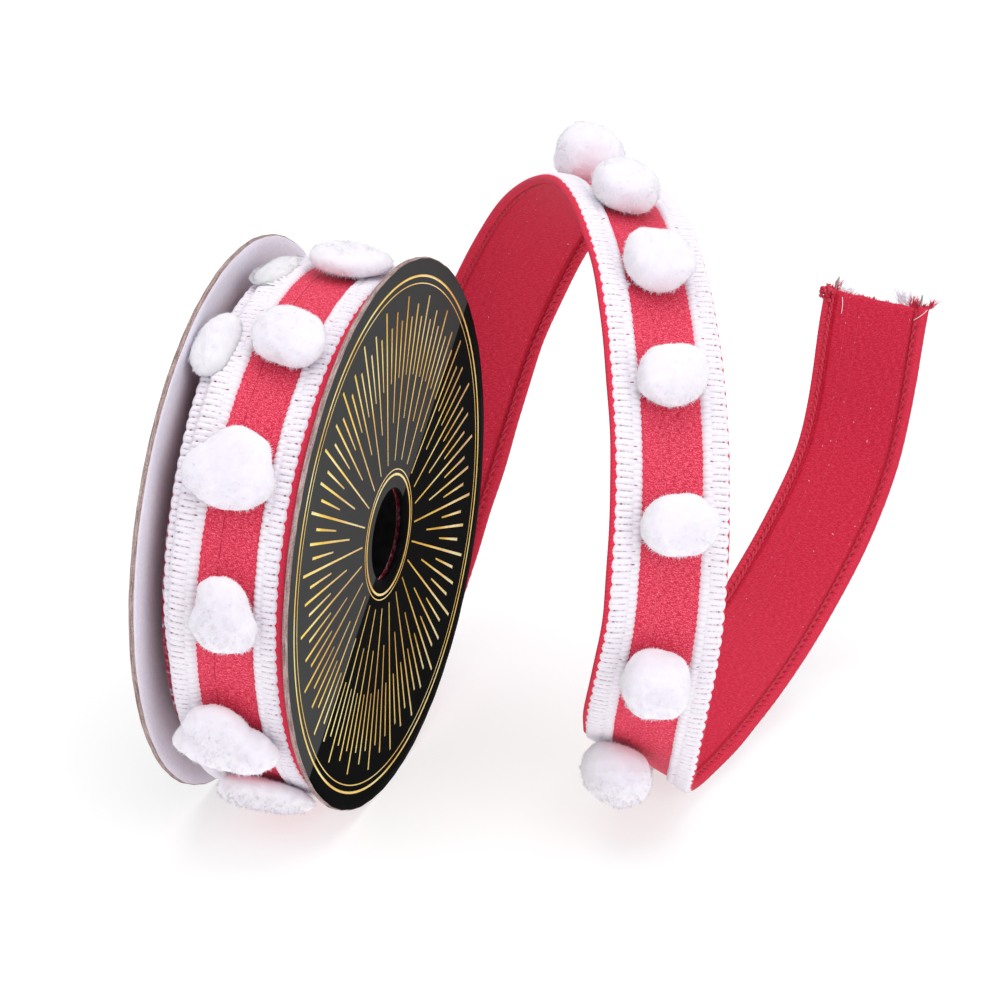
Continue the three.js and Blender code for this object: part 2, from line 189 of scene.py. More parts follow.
# Middle line of the loose end, with x from the front face, and the way its width points: yaw turns the
# right edge away from the viewer, dip lowers it.
TAIL_ROWS = [
    ("clears the rims", -14, 45, 17, 0, 5),
    ("far leg, low", -13, 66, 37, 12, 14),
    ("far leg, high", -6, 78, 68, 32, 19),
    ("far shoulder", 8, 75, 97, 36, 17),
    ("top of the coil", 28, 54, 116, 35, 15),
    ("near shoulder", 48, 23, 114, 34, 12),
    ("near leg, high", 62, -5, 91, 33, 8),
    ("near leg, middle", 66, -19, 60, 29, 7),
    ("near leg, low", 59, -12, 27, 9, 14),
    ("bend over the table", 53, 8, 11, -4, 24),
    ("foot of the coil", 55, 36, 9, -8, 19),
    ("last leg, low", 61, 69, 18, -12, 5),
    ("last leg, high", 68.5, 93, 42, -15, 1),
    ("cut end", 70.5, 107, 75, -12, 0),
]


# Small vector helpers
def unit(vectors):
    return vectors / np.linalg.norm(vectors, axis=-1, keepdims=True)


def smooth_step(low, high, value):
    share = np.clip((value - low) / (high - low), 0, 1)
    return share * share * (3 - 2 * share)


def bell(value, spread):
    return np.exp(-((value / spread) ** 2))


def arch(value):
    """Row of round humps with sharp valleys at whole numbers."""
    return np.abs(np.sin(np.pi * value))


# Path of the ribbon
def catmull_rom(points, t):
    """Centripetal Catmull-Rom curve through the points, with t from 0 to 1."""
    points = np.vstack([2 * points[0] - points[1], points, 2 * points[-1] - points[-2]])
    place = t * (len(points) - 3)
    first = np.minimum(place.astype(int), len(points) - 4)
    part = (place - first)[:, None]
    near = [points[first + k] for k in range(4)]
    d0, d1, d2 = (np.sqrt(np.linalg.norm(b - a, axis=1))[:, None] for a, b in zip(near, near[1:]))
    p0, p1, p2, p3 = near
    m1 = d1 * ((p1 - p0) / d0 - (p2 - p0) / (d0 + d1) + (p2 - p1) / d1)
    m2 = d1 * ((p2 - p1) / d1 - (p3 - p1) / (d1 + d2) + (p3 - p2) / d2)
    square = 3 * (p2 - p1) - 2 * m1 - m2
    cube = 2 * (p1 - p2) + m1 + m2
    return p1 + part * (m1 + part * (square + part * cube))


def wound_line():
    """Middle line of the outer turns, ending where the loose end leaves them."""
    back = np.linspace(WOUND_TURNS, 0, 4000)
    angle = math.radians(LEAVE_ANGLE) - 2 * np.pi * back
    radius = ROLL_RADIUS - RIBBON_SPACE / 2 - TURN_PITCH * back
    drift = 0.5 * smooth_step(0.9, 1.05, back) + LOWER_TURN_STRAY * bell(back - STRAY_PLACE, 0.11)
    drift += (LOWER_TURN_SHIFT - 0.5) * smooth_step(SHIFT_PLACE - 0.06, SHIFT_PLACE + 0.04, back)
    return np.stack([ROLL_MIDDLE - drift, radius * np.cos(angle), AXIS_HEIGHT + radius * np.sin(angle)], 1)


def ribbon_path():
    t = np.linspace(0, 1, 5000)
    rows = np.array([row[1:] for row in TAIL_ROWS], float)
    wound = wound_line()
    places = np.vstack([wound[-1], rows[:, :3] + [FRONT_FACE, 0, 0]])
    yaw, dip = np.radians(rows[:, 3:]).T
    aims = np.stack([np.cos(dip) * np.cos(yaw), np.cos(dip) * np.sin(yaw), -np.sin(dip)], 1)
    axis = np.array([[1.0, 0, 0]])
    line = np.vstack([wound, catmull_rom(places, t)[1:]])
    width = np.vstack([np.repeat(axis, len(wound), 0), catmull_rom(np.vstack([axis, aims]), t)[1:]])
    steps = np.linalg.norm(np.diff(line, axis=0), axis=1)
    run = np.concatenate([[0], np.cumsum(steps)])
    tangent = unit(np.gradient(line, run, axis=0))
    width = unit(width - tangent * np.sum(tangent * width, axis=1, keepdims=True))
    normal = np.cross(tangent, width)
    return SimpleNamespace(run=run - run[len(wound) - 1], line=line, width=width, normal=normal)


PATH = ribbon_path()
TAIL_END = PATH.run[-1]


def run_at_turn(back):
    """Run of the place that lies this many turns back from where the loose end leaves."""
    start = ROLL_RADIUS - RIBBON_SPACE / 2
    return -2 * np.pi * (start * back - TURN_PITCH * back**2 / 2)


def frames_at(run):
    """Middle line, width and outward normal at each run."""
    parts = (PATH.line, PATH.width, PATH.normal)
    return [np.stack([np.interp(run, PATH.run, part[:, i]) for i in range(3)], -1) for part in parts]


def frame_at(run):
    return [part[0] for part in frames_at(np.array([run]))]


def wound_share(run):
    """1 on the roll, fading to 0 where the loose end has left it."""
    return 1 - smooth_step(-5, 25, run)


def waviness(run, across):
    """Slight unevenness of the loose end's wired edges, and the left hem tucked down on the roll."""
    share = across / (RIBBON_WIDTH / 2)
    loose = smooth_step(15, 60, run)
    left = np.sin(run / 6.1) + 0.8 * np.sin(run / 9.7 + 1)
    right = np.sin(run / 7.3 + 2) + 0.8 * np.sin(run / 11.9)
    edge = 0.16 * np.abs(share) ** 3 * np.where(share < 0, left, right)
    middle = 0.1 * (1 - share**2) * np.sin(run / 8.3)
    tuck = 0.9 * np.clip((-across - 10.9) / 1.6, 0, 1.2) ** 2
    return loose * (edge + middle) - wound_share(run) * tuck


def drawn_in(run, across):
    """Place across of the cloth and its left hem, which are drawn in under the braid on the roll."""
    return across + wound_share(run) * smooth_step(9.5, 11.6, -across)


def on_ribbon(run, across, out):
    """Points at places on the ribbon. The three arguments are broadcast together."""
    run, across, out = np.broadcast_arrays(run, across, out)
    line, width, normal = frames_at(run)
    return line + width * across[..., None] + normal * (out + waviness(run, across))[..., None]


# Meshes
def tube_faces(count, rows, ring, closed=False):
    """Faces of like tubes whose points go by tube, row and place round the row."""
    row = np.arange(rows if closed else rows - 1)[:, None] * ring
    after = (row + ring) % (rows * ring)
    point = np.arange(ring)
    beside = (point + 1) % ring
    sides = np.stack([row + point, row + beside, after + beside, after + point], -1).reshape(-1, 4)
    tubes = np.arange(count)[:, None, None] * rows * ring
    faces = [(tubes + sides).reshape(-1, 4)]
    if not closed:
        ends = np.stack([point[::-1], (rows - 1) * ring + point])
        faces.append((tubes + ends).reshape(-1, ring))
    return faces


def volume(points, faces):
    total = 0
    for face in faces:
        for k in range(1, face.shape[1] - 1):
            corners = points[face[:, 0]], points[face[:, k]], points[face[:, k + 1]]
            total += np.sum(corners[0] * np.cross(corners[1], corners[2]))
    return total


def new_object(name, data):
    obj = bpy.data.objects.new(name, data)
    bpy.context.scene.collection.objects.link(obj)
    return obj


def add_piece(name, points, faces, materials, replaces=(), uv=None, paint=None):
    """Makes a mesh piece from millimetre points, with a UV place a point and a material number a face."""
    points = np.asarray(points, float).reshape(-1, 3)
    if volume(points, faces) < 0:
        faces = [face[:, ::-1] for face in faces]
    corners = np.concatenate([face.ravel() for face in faces])
    sizes = np.concatenate([np.full(len(face), face.shape[1]) for face in faces])
    mesh = bpy.data.meshes.new(name)
    mesh.vertices.add(len(points))
    mesh.vertices.foreach_set("co", (points * MM).astype(np.float32).ravel())
    mesh.loops.add(len(corners))
    mesh.loops.foreach_set("vertex_index", corners.astype(np.int32))
    mesh.polygons.add(len(sizes))
    mesh.polygons.foreach_set("loop_start", (np.cumsum(sizes) - sizes).astype(np.int32))
    mesh.polygons.foreach_set("use_smooth", np.ones(len(sizes), bool))
    if paint is not None:
        mesh.polygons.foreach_set("material_index", np.asarray(paint, np.int32))
    if uv is not None:
        layer = mesh.uv_layers.new(name="UVMap")
        layer.data.foreach_set("uv", uv.reshape(-1, 2)[corners].astype(np.float32).ravel())
    mesh.update(calc_edges=True)
    for material in materials:
        mesh.materials.append(material)
    obj = new_object(name, mesh)
    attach(obj, "root")
    if replaces:
        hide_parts(*replaces)
    return obj


def add_strands(name, lines, radius, sides, material, replaces=()):
    """Adds closed thin tubes along lines of points, given by line and place on it, with a radius a place."""
    lines = np.asarray(lines, float)
    along = unit(np.gradient(lines, axis=1))
    guide = np.where(np.abs(along[..., :1]) < 0.8, [1.0, 0, 0], [0, 1.0, 0])
    side = unit(np.cross(along, guide))
    up = np.cross(along, side)
    turn = 2 * np.pi * np.arange(sides)[:, None] / sides
    round_it = side[..., None, :] * np.cos(turn) + up[..., None, :] * np.sin(turn)
    radius = np.broadcast_to(radius, lines.shape[:2])[..., None, None]
    faces = tube_faces(*lines.shape[:2], sides)
    return add_piece(name, lines[..., None, :] + radius * round_it, faces, [material], replaces)


def lathe(profile, radius_at=None):
    """Points of a ring shape about the spool's axis from [x, radius] pairs, one section a segment."""
    turn = 2 * np.pi * np.arange(SPOOL_SEGMENTS) / SPOOL_SEGMENTS
    profile = np.asarray(profile, float)
    x = np.broadcast_to(profile[:, 0], (SPOOL_SEGMENTS, len(profile)))
    radius = np.broadcast_to(profile[:, 1], x.shape)
    if radius_at is not None:
        radius = radius_at(radius, turn[:, None])
    y = radius * np.cos(turn)[:, None]
    z = AXIS_HEIGHT + radius * np.sin(turn)[:, None]
    return np.stack([x, y, z], -1), tube_faces(1, SPOOL_SEGMENTS, len(profile), closed=True)


# Materials
class Look:
    """A Principled material and short ways to add nodes to it."""

    def __init__(self, name, **sockets):
        self.material = bpy.data.materials.new(name)
        self.material.use_nodes = True
        self.tree = self.material.node_tree
        self.shader = self.tree.nodes["Principled BSDF"]
        for socket, value in sockets.items():
            self.put(self.shader, socket.replace("_", " "), value)

    def put(self, node, socket, value):
        if isinstance(value, bpy.types.NodeSocket):
            self.tree.links.new(value, node.inputs[socket])
        else:
            node.inputs[socket].default_value = value

    def add(self, kind, inputs, output=0, **settings):
        """Adds a node with a value or a link an input, and gives the output of that name or number."""
        node = self.tree.nodes.new(kind)
        for key, value in settings.items():
            setattr(node, key, value)
        for socket, value in inputs.items():
            self.put(node, socket, value)
        return node.outputs[output]

    def uv(self):
        """Places on the UV map: the run along the ribbon, and the place across or round a piece."""
        return self.add("ShaderNodeTexCoord", {}, "UV")

    def coordinates(self, kind, scale):
        """Object places in millimetres, or places on the UV map, times the scale on each axis."""
        place = self.add("ShaderNodeTexCoord", {}, kind)
        per_unit = 1 if kind == "UV" else 1 / MM
        return self.add("ShaderNodeMapping", {"Vector": place, "Scale": [per_unit * s for s in scale]})

    def slanted(self, degrees, size):
        """Places on the UV map turned by the angle, in features of the given length and breadth."""
        inputs = {"Vector": self.uv(), "Rotation": (0, 0, math.radians(degrees)), "Scale": (*size, 1)}
        return self.add("ShaderNodeMapping", inputs, vector_type="TEXTURE")

    def axes(self, place, names):
        return [self.add("ShaderNodeSeparateXYZ", {"Vector": place}, name) for name in names]

    def noise_at(self, place, detail):
        return self.add("ShaderNodeTexNoise", {"Vector": place, "Scale": 1, "Detail": detail}, "Fac")

    def noise(self, kind, scale, detail=2):
        return self.noise_at(self.coordinates(kind, scale), detail)

    def math(self, operation, first, second=0):
        return self.add("ShaderNodeMath", {0: first, 1: second}, operation=operation)

    def joined(self, operation, first, *others):
        for other in others:
            first = self.math(operation, first, other)
        return first

    def plus(self, *terms):
        return self.joined("ADD", *terms)

    def times(self, *factors):
        return self.joined("MULTIPLY", *factors)

    def map_range(self, value, start, stop, low, high):
        """The value's place between start and stop, as a number from low to high."""
        limits = {"From Min": start, "From Max": stop, "To Min": low, "To Max": high}
        return self.add("ShaderNodeMapRange", {"Value": value, **limits}, "Result")

    def fall(self, value, near, far):
        """1 where the value is under near, fading to 0 where it is over far."""
        return self.map_range(value, near, far, 1, 0)

    def beside(self, value, middle, near, far):
        """1 where the value is within near of the middle, fading to 0 at far from it."""
        return self.fall(self.math("ABSOLUTE", self.math("SUBTRACT", value, middle)), near, far)

    def colour(self, factor, stops):
        """Base colour by the factor, from stops of its value and the colour there."""
        node = self.tree.nodes.new("ShaderNodeValToRGB")
        elements = node.color_ramp.elements
        while len(elements) < len(stops):
            elements.new(0.5)
        for element, (place, colour) in zip(elements, stops):
            element.position = place
            element.color = (*colour, 1)
        self.put(node, "Fac", factor)
        self.put(self.shader, "Base Color", node.outputs["Color"])

    def roughness(self, noise, low, high):
        self.put(self.shader, "Roughness", self.map_range(noise, 0.3, 0.7, low, high))

    def bump(self, height, strength, depth):
        """Raises the surface by the height, with its depth in millimetres."""
        inputs = {"Height": height, "Strength": strength, "Distance": depth * MM}
        self.put(self.shader, "Normal", self.add("ShaderNodeBump", inputs))


def grey(value):
    return (value, value, value)


def card_print_and_sheen():
    """Black printed card with a painted sheen: charcoal above a straight slanting line stands in
    for the reflection of its gloss.
    """
    look = Look("card_print_and_sheen", IOR=1.02)
    smudge = look.noise("Object", (0.05, 0.03, 0.04), 3)
    away, height = look.axes(look.coordinates("Object", (1, 1, 1)), "YZ")
    # Border of the painted sheen: charcoal above it, plain black print below
    border = look.plus(look.times(away, SHEEN_SLOPE), AXIS_HEIGHT - SHEEN_DROP)
    sheen_zone = look.map_range(look.math("SUBTRACT", height, border), 0, 0.5, 0, 1)
    tone = look.plus(look.times(sheen_zone, 0.8), look.times(smudge, 0.12), 0.04)
    black, worn, charcoal = (0.003, 0.0035, 0.0035), (0.0045, 0.005, 0.005), (0.060, 0.063, 0.062)
    look.colour(tone, [(0.0, black), (0.2, worn), (0.95, charcoal)])
    look.roughness(smudge, 0.3, 0.42)
    look.bump(look.noise("Object", (1.2, 1.2, 1.2)), 0.1, 0.03)
    return look.material


def grained(name, scale, detail, stops, bump=None, **sockets):
    """Material coloured by one noise, which also raises it where bump gives a strength and a depth."""
    look = Look(name, **sockets)
    grain = look.noise("Object", scale, detail)
    look.colour(grain, stops)
    if bump:
        look.bump(grain, *bump)
    return look.material


def card_paper():
    stops = [(0.3, (0.80, 0.77, 0.86)), (0.7, (0.88, 0.85, 0.93))]
    sockets = {"Roughness": 0.75, "Specular_IOR_Level": 0.3}
    return grained("card_paper", (1.1, 1.1, 1.7), 5, stops, (0.15, 0.05), **sockets)


def card_edge():
    look = Look("card_edge", Roughness=0.95, Specular_IOR_Level=0.2)
    layers = look.noise("Object", (4.0, 0.25, 0.25), 4)
    fibres = look.noise("Object", (2.5, 2.5, 2.5), 3)
    mixed = look.plus(look.times(layers, 0.65), look.times(fibres, 0.35))
    dark, plain, light = (0.16, 0.10, 0.095), (0.36, 0.26, 0.245), (0.56, 0.45, 0.42)
    look.colour(mixed, [(0.34, dark), (0.5, plain), (0.66, light)])
    look.bump(mixed, 0.6, 0.15)
    return look.material


def gold_foil():
    look = Look("gold_foil", Metallic=0.35, Specular_IOR_Level=0.5)
    sheen = look.noise("Object", (0.05, 0.06, 0.05))
    look.colour(sheen, [(0.36, (0.80, 0.46, 0.05)), (0.5, (1.0, 0.70, 0.12)), (0.62, (1.0, 0.86, 0.34))])
    look.roughness(look.noise("Object", (1.5, 1.5, 1.5)), 0.25, 0.45)
    return look.material


def ribbon_cloth(name, dark, plain, light, speck, grooves=()):
    """Fine satin in the ribbon's own run and across: weft threads, a faint slant, light specks where a
    noise is over speck, and painted shade in grooves along the hems."""
    look = Look(name, Specular_IOR_Level=0.2, Sheen_Weight=0.05, Sheen_Roughness=0.4)
    weft = look.noise("UV", (4.2, 0.9, 1))
    grain = look.noise("UV", (3.7, 3.3, 1), 3)
    slant = look.noise_at(look.slanted(52, (0.8, 0.17)), 1)
    specks = look.math("GREATER_THAN", look.noise("UV", (4.4, 3.6, 1), 1), speck)
    cloth = look.plus(look.times(weft, 0.4), look.times(grain, 0.28), look.times(slant, 0.32))
    tone = look.plus(cloth, look.times(specks, 0.16))
    [across] = look.axes(look.uv(), "Y")
    # Painted shade darkens the cloth in the grooves beside the hems
    for middle in grooves:
        tone = look.math("SUBTRACT", tone, look.times(look.beside(across, middle, 0.05, 0.5), 0.14))
    look.colour(tone, [(0.2, [0.4 * part for part in dark]), (0.38, dark), (0.5, plain), (0.66, light)])
    look.roughness(weft, 0.55, 0.7)
    look.bump(cloth, 0.07, 0.06)
    return look.material


def hem_thread(name, wraps):
    """Oversewing thread in slanting wraps round the hem, which show by the given share as bumps and as
    painted light on their crests and painted shade between them.
    """
    look = Look(name, Roughness=0.7, Specular_IOR_Level=0.2)
    half_wrap = 0.38
    along, around = look.axes(look.uv(), "XY")
    slanted = look.plus(along, look.times(around, 0.12))
    ridge = look.math("SQRT", look.times(look.math("PINGPONG", slanted, half_wrap), 1 / half_wrap))
    yarn = look.noise("UV", (2.4, 3.0, 1), 3)
    # The wraps' ridges paint light on the crests and shade between the wraps
    tone = look.plus(look.times(yarn, 1 - wraps), look.times(ridge, wraps))
    dark, plain, light = (0.43, 0.010, 0.030), (0.74, 0.031, 0.076), (0.92, 0.10, 0.155)
    look.colour(tone, [(0.25, dark), (0.55, plain), (0.85, light)])
    look.bump(tone, 0.6, 0.25)
    return look.material


def stitch_thread(name, dark, light):
    stops = [(0.3, dark), (0.7, light)]
    return grained(name, (5, 5, 5), 2, stops, (0.4, 0.06), Roughness=0.6, Specular_IOR_Level=0.4)


def braid_yarn():
    """White yarn, with the red cloth peeping through between the wraps, and painted shade in the valleys
    between the wraps and in the groove along the braid.
    """
    look = Look("braid_yarn", Roughness=0.85, Specular_IOR_Level=0.15, Sheen_Weight=0.1)
    along, inward = look.axes(look.uv(), "XY")
    valley = look.math("PINGPONG", along, RIDGE_PITCH / 2)
    junction = look.math("PINGPONG", along, SCALLOP_PITCH / 2)
    notch = look.math("SUBTRACT", SCALLOP_PITCH / 2, junction)
    gap = look.math("SUBTRACT", RIDGE_PITCH / 2, valley)
    gaps = look.noise("UV", (0.9, 9, 1), 1)
    loose = look.noise("UV", (0.62, 0.4, 1), 1)
    open_gap = look.fall(gaps, 0.56, 0.44)
    open_wrap = look.fall(loose, 0.36, 0.44)
    tight = look.fall(loose, 0.6, 0.34)

    def marks(near, reach, middle, spread, *shares):
        """Marks close to a valley or notch, in a band of the given middle and spread across the braid."""
        return look.times(look.fall(near, *reach), look.beside(inward, middle, *spread), *shares)

    dots = marks(junction, (0.08, 0.22), 0.19, (0.02, 0.06), tight)
    dashes = marks(valley, (0.03, 0.17), 0.4, (0.22, 0.29), open_gap, 0.45)
    slots = marks(notch, (0.06, 0.2), 0.71, (0.03, 0.08), open_wrap)
    # Painted shade: thin lines in the valleys between the wraps, marks between the inner teeth and a line in
    # the groove along the braid
    lines = marks(valley, (0.02, 0.15), 0.34, (0.27, 0.33), 0.12)
    cell_shade = marks(gap, (0.03, 0.18), 0.82, (0.1, 0.16), 0.12)
    fold_shade = look.times(look.beside(inward, 0.66, 0.01, 0.035), open_gap, 0.07)
    red = look.joined("MAXIMUM", dots, slots, dashes, lines, cell_shade, fold_shade)
    fibres = look.noise("UV", (5.5, 8, 1), 4)
    white, shade = (0.88, 0.845, 0.90), (0.84, 0.79, 0.86)
    pink, deep = (0.62, 0.46, 0.54), (0.24, 0.008, 0.03)
    tone = look.plus(red, look.times(fibres, 0.1))
    look.colour(tone, [(0.05, white), (0.1, shade), (0.42, pink), (0.95, deep)])
    look.bump(fibres, 0.45, 0.18)
    return look.material


def cotton(name, scatter, dark, light):
    """Cotton that scatters light inside it by the given share."""
    stops = [(0.3, dark), (0.65, light)]
    inside = {"Subsurface_Radius": (0.0036, 0.0033, 0.0036), "Subsurface_Scale": 1}
    matt = {"Roughness": 1, "Specular_IOR_Level": 0, "Subsurface_Weight": scatter}
    return grained(name, (0.5, 0.5, 0.5), 5, stops, (0.15, 0.2), **matt, **inside)


def wire_steel():
    look = Look("wire_steel", Metallic=1.0)
    drawn = look.noise("Object", (6, 6, 0.8))
    look.colour(drawn, [(0.3, grey(0.30)), (0.7, grey(0.50))])
    look.roughness(drawn, 0.3, 0.5)
    return look.material


def roll_layers():
    """Edges of the lower turns, red ribbon and white pompoms pressed between."""
    stops = [(0.4, (0.30, 0.008, 0.025)), (0.55, (0.42, 0.10, 0.14)), (0.7, (0.62, 0.56, 0.62))]
    sockets = {"Roughness": 0.9, "Specular_IOR_Level": 0.2}
    return grained("roll_layers", (0.5, 0.9, 0.9), 4, stops, (0.5, 0.3), **sockets)


# Near-black painted shade for the wall of the finger hole and of the roll's bore, where only shade shows
def bore_painted_shade():
    stops = [(0.3, grey(0.002)), (0.7, grey(0.006))]
    return grained("bore_painted_shade", (0.4, 0.4, 0.4), 3, stops, Roughness=0.9, Specular_IOR_Level=0.05)


def pale_floor(name, low, high, glow):
    stops = [(0.3, grey(low)), (0.7, grey(high))]
    light = {"Emission_Color": (1, 1, 1, 1), "Emission_Strength": glow}
    return grained(name, (0.002, 0.002, 0.002), 2, stops, Roughness=0.9, Specular_IOR_Level=0, **light)


PRINT_AND_SHEEN = card_print_and_sheen()
PAPER = card_paper()
EDGE = card_edge()
FOIL = gold_foil()
OUTER_REDS = (0.50, 0.013, 0.040), (0.70, 0.033, 0.078), (0.92, 0.17, 0.25)
INNER_REDS = (0.52, 0.009, 0.034), (0.62, 0.017, 0.054), (0.76, 0.06, 0.12)
CLOTH_OUT = ribbon_cloth("ribbon_outer", *OUTER_REDS, speck=0.63)
CLOTH_IN = ribbon_cloth("ribbon_inner", *INNER_REDS, speck=0.66, grooves=INNER_GROOVE_SHADES)
HEM_ROPE = hem_thread("hem_rope", 0.2)
HEM_BAND = hem_thread("hem_band", 0.08)
STITCH = stitch_thread("stitch_thread", (0.46, 0.012, 0.036), (0.76, 0.05, 0.105))
# The outer seam's one thread in two painted copies: painted shade on the roll, painted light on the loose
# end
SEAM_PAINTED_SHADE = stitch_thread("seam_painted_shade", (0.36, 0.008, 0.026), (0.52, 0.018, 0.05))
SEAM_PAINTED_LIGHT = stitch_thread("seam_painted_light", (0.68, 0.05, 0.10), (0.88, 0.16, 0.23))
SEAM_IN = stitch_thread("seam_inner", (0.62, 0.022, 0.058), (0.82, 0.06, 0.11))
SPECK = stitch_thread("needle_speck", (0.62, 0.08, 0.13), (0.85, 0.42, 0.48))
# Near-black specks: painted shade in the needle holes
NEEDLE_SHADE = stitch_thread("needle_hole_shade", (0.06, 0.002, 0.006), (0.16, 0.005, 0.015))
BRAID = braid_yarn()
COTTON = cotton("cotton", 1.0, (0.81, 0.782, 0.846), (0.84, 0.812, 0.872))
# The pompoms' cotton painted a little lighter for the fibres: painted light against the shade that falls
# among them
FLUFF_LIGHTENED = cotton("cotton_fibres_lightened", 0.0, (0.83, 0.800, 0.868), (0.86, 0.830, 0.892))
STEEL = wire_steel()
LAYERS = roll_layers()
BORE_SHADE = bore_painted_shade()


# Spool
def flange(name, node, outer, sign):
    """Card disc: printed paper outside with a painted sheen, plain paper inside, bare chipboard at the
    rim and painted shade on the wall of the hole.
    """
    half = sign * CARD_THICK / 2
    centre = outer - half
    bend = half - sign * CARD_ROUND
    border, hollow = 2, 0.06
    edge = [(half, border), (half, CARD_ROUND), (bend, 0), (0, hollow)]
    edge += [(-bend, 0), (-half, CARD_ROUND), (-half, border)]
    profile = [(centre + x, FLANGE_RADIUS - deep) for x, deep in edge]
    profile += [(centre - x, HOLE_RADIUS + deep) for x, deep in edge]
    printed, plain, rim, hole = range(4)  # places of the four materials
    # The hole's wall gets the near-black painted shade
    paint = [printed, *[rim] * 4, *[plain] * 3, *[hole] * 4, *[printed] * 2]

    def worn(radius, turn):
        ripple = 0.05 * np.sin(23 * turn + 3 * radius) + 0.04 * np.sin(57 * turn + sign)
        return radius + np.where(radius > FLANGE_RADIUS - CARD_ROUND - 0.1, ripple, 0)

    points, faces = lathe(profile, worn)
    points[..., 2] = np.maximum(points[..., 2], 0)
    paint = np.tile(paint, SPOOL_SEGMENTS)
    add_piece(name, points, faces, [PRINT_AND_SHEEN, PAPER, EDGE, BORE_SHADE], [node], paint=paint)


def foil_print():
    """Thin gold rings and straight rays of several lengths round the finger hole."""
    rise, sunk = 0.03, 0.02
    low, high = FRONT_FACE - sunk, FRONT_FACE + rise
    parts = []
    for radius, wide in ((12.2, 0.5), (13.4, 0.22), (51.6, 0.22), (53.0, 0.5)):
        parts.append(lathe([(low, radius), (high, radius), (high, radius + wide), (low, radius + wide)]))
    spans = np.array([(15.5, 49.5), (33, 45), (24, 47.5), (33, 45)])
    repeats = 24
    count = repeats * len(spans)
    turn = 2 * np.pi * np.arange(count)[:, None, None] / count
    ends = np.tile(spans, (repeats, 1))[..., None]
    half = np.array([[0.16], [0.3]]) * [-1, 1, 1, -1]
    x = np.broadcast_to([low, low, high, high], (count, 2, 4))
    y = ends * np.cos(turn) - half * np.sin(turn)
    z = ends * np.sin(turn) + half * np.cos(turn) + AXIS_HEIGHT
    parts.append((np.stack([x, y, z], -1), tube_faces(count, 2, 4)))
    points, faces, used = [], [], 0
    for part, part_faces in parts:
        points.append(part.reshape(-1, 3))
        faces += [face + used for face in part_faces]
        used += len(points[-1])
    add_piece("foil_print", np.vstack(points), faces, [FOIL])


def roll_body():
    """Lower turns of the roll under the two outer ones, with the edges of the layers at both sides, and
    painted shade on the wall of the bore.
    """
    outer = ROLL_RADIUS - TURN_PITCH - 1.3
    layer = np.arange(ROLL_BORE, outer - 1, TURN_PITCH / 2)
    notch = 0.45 * (np.arange(len(layer)) % 2)
    left = np.stack([ROLL_MIDDLE - ROLL_LEFT + notch, layer], 1)
    right = np.stack([ROLL_MIDDLE + ROLL_RIGHT - notch, layer], 1)[::-1]
    top = [(ROLL_MIDDLE - ROLL_LEFT + 0.4, outer), (ROLL_MIDDLE + ROLL_RIGHT - 0.4, outer)]

    def spiral(radius, turn):
        back = (math.radians(LEAVE_ANGLE) - turn) % (2 * np.pi) / (2 * np.pi)
        return radius - TURN_PITCH * back * smooth_step(ROLL_BORE, outer, radius)

    profile = np.vstack([left, top, right])
    points, faces = lathe(profile, spiral)
    # The bore's wall gets the near-black painted shade
    paint = np.tile(np.arange(len(profile)) == len(profile) - 1, SPOOL_SEGMENTS)
    add_piece("roll_body", points, faces, [LAYERS, BORE_SHADE], ["ribbon_roll"], paint=paint)


# Ribbon
def cut_line(across):
    """How far the cut lies short of the ribbon's end, because the hems stand up past it."""
    share = np.abs(across) / (RIBBON_WIDTH / 2)
    return 0.8 * (1 - share**8) + 0.12 * np.sin(1.9 * across) + 0.1 * np.sin(0.8 * across + 1)


def ribbon_sheet():
    """The whole ribbon that shows, from under the outer turn to the cut end."""
    run = np.linspace(PATH.run[0], TAIL_END, 900)[:, None]
    columns = 13
    ring = 2 * columns
    share = np.linspace(-1, 1, columns)
    across = np.concatenate([share, share[::-1]]) * (RIBBON_WIDTH / 2 - 0.5)
    out = SHEET_HALF * np.repeat([OUTER, INNER], columns)
    run = run - cut_line(across) * smooth_step(TAIL_END - 4, TAIL_END, run)
    points = on_ribbon(run, drawn_in(run, across), out)
    uv = np.stack(np.broadcast_arrays(run, across), -1)
    edge = np.arange(columns - 1)[:, None] * [1, 1, -1, -1] + [0, 1, ring - 2, ring - 1]
    faces = [tube_faces(1, len(run), ring)[0], edge[:, ::-1], edge + ring * (len(run) - 1)]
    inner = np.tile(np.arange(ring) >= columns, len(run) - 1)
    paint = np.concatenate([inner, np.zeros(2 * len(edge), bool)])
    cloths = [CLOTH_OUT, CLOTH_IN]
    return add_piece("ribbon_sheet", points, faces, cloths, ["tail_ribbon"], uv, paint)


